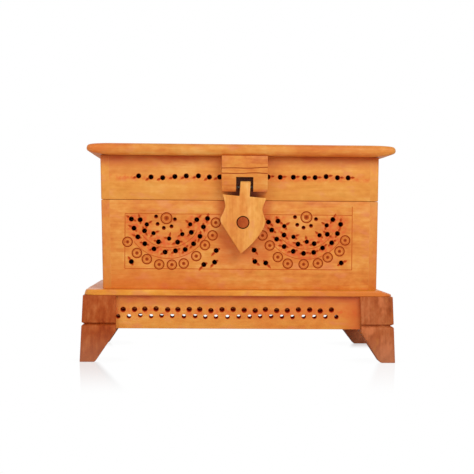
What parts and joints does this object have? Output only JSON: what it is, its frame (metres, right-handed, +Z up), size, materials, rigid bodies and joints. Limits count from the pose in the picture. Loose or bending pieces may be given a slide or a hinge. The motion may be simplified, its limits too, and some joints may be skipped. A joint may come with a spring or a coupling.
{
  "type": "wooden jewelry box",
  "caption": "Footed wooden box with a hinged lid, a swinging shield-shaped wooden hasp over a peg, and fans of drilled holes across the front.",
  "frame": {"origin": "on the surface that the box stands on, under the middle of the box", "axes": "+X along the front to the right, +Y from the front to the back, +Z up"},
  "size_m": [0.2072, 0.1352, 0.1433],
  "materials": {
    "honey_wood": "clear satin lacquer on a pale honey-orange wood with fine grain",
    "dark_wood": "clear satin lacquer on a reddish brown wood",
    "brass": "dull brass",
    "steel": "plain steel wire"
  },
  "bodies": {
    "case": {"front_panel": "honey_wood", "back_panel": "honey_wood", "left_side_panel": "honey_wood", "right_side_panel": "honey_wood", "base_board": "honey_wood", "front_apron": "honey_wood", "back_apron": "honey_wood", "left_apron": "honey_wood", "right_apron": "honey_wood", "front_left_foot": "dark_wood", "front_right_foot": "dark_wood", "back_left_foot": "dark_wood", "back_right_foot": "dark_wood", "latch_peg": "dark_wood", "left_hinge_case_leaf": "brass", "right_hinge_case_leaf": "brass", "left_hinge_pin": "brass", "right_hinge_pin": "brass", "left_hinge_case_left_screw": "brass", "left_hinge_case_right_screw": "brass", "right_hinge_case_left_screw": "brass", "right_hinge_case_right_screw": "brass"},
    "lid": {"lid_board": "honey_wood", "lid_front_rail": "honey_wood", "lid_back_rail": "honey_wood", "lid_left_rail": "honey_wood", "lid_right_rail": "honey_wood", "latch_block": "honey_wood", "hasp_pin": "steel", "left_hinge_lid_leaf": "brass", "right_hinge_lid_leaf": "brass", "left_hinge_lid_left_screw": "brass", "left_hinge_lid_right_screw": "brass", "right_hinge_lid_left_screw": "brass", "right_hinge_lid_right_screw": "brass"},
    "hasp": {"hasp": "honey_wood"}
  },
  "joints": [
    {"name": "lid_hinge", "type": "hinge", "parent": "case", "child": "lid", "pos_m": [0.0008, 0.0602, 0.10635], "axis": [-1, 0, 0], "range_deg": [0, 165]},
    {"name": "hasp_hinge", "type": "hinge", "parent": "lid", "child": "hasp", "pos_m": [0.0039, -0.0632, 0.115], "axis": [-1, 0, 0], "range_deg": [0, 110]}
  ]
}
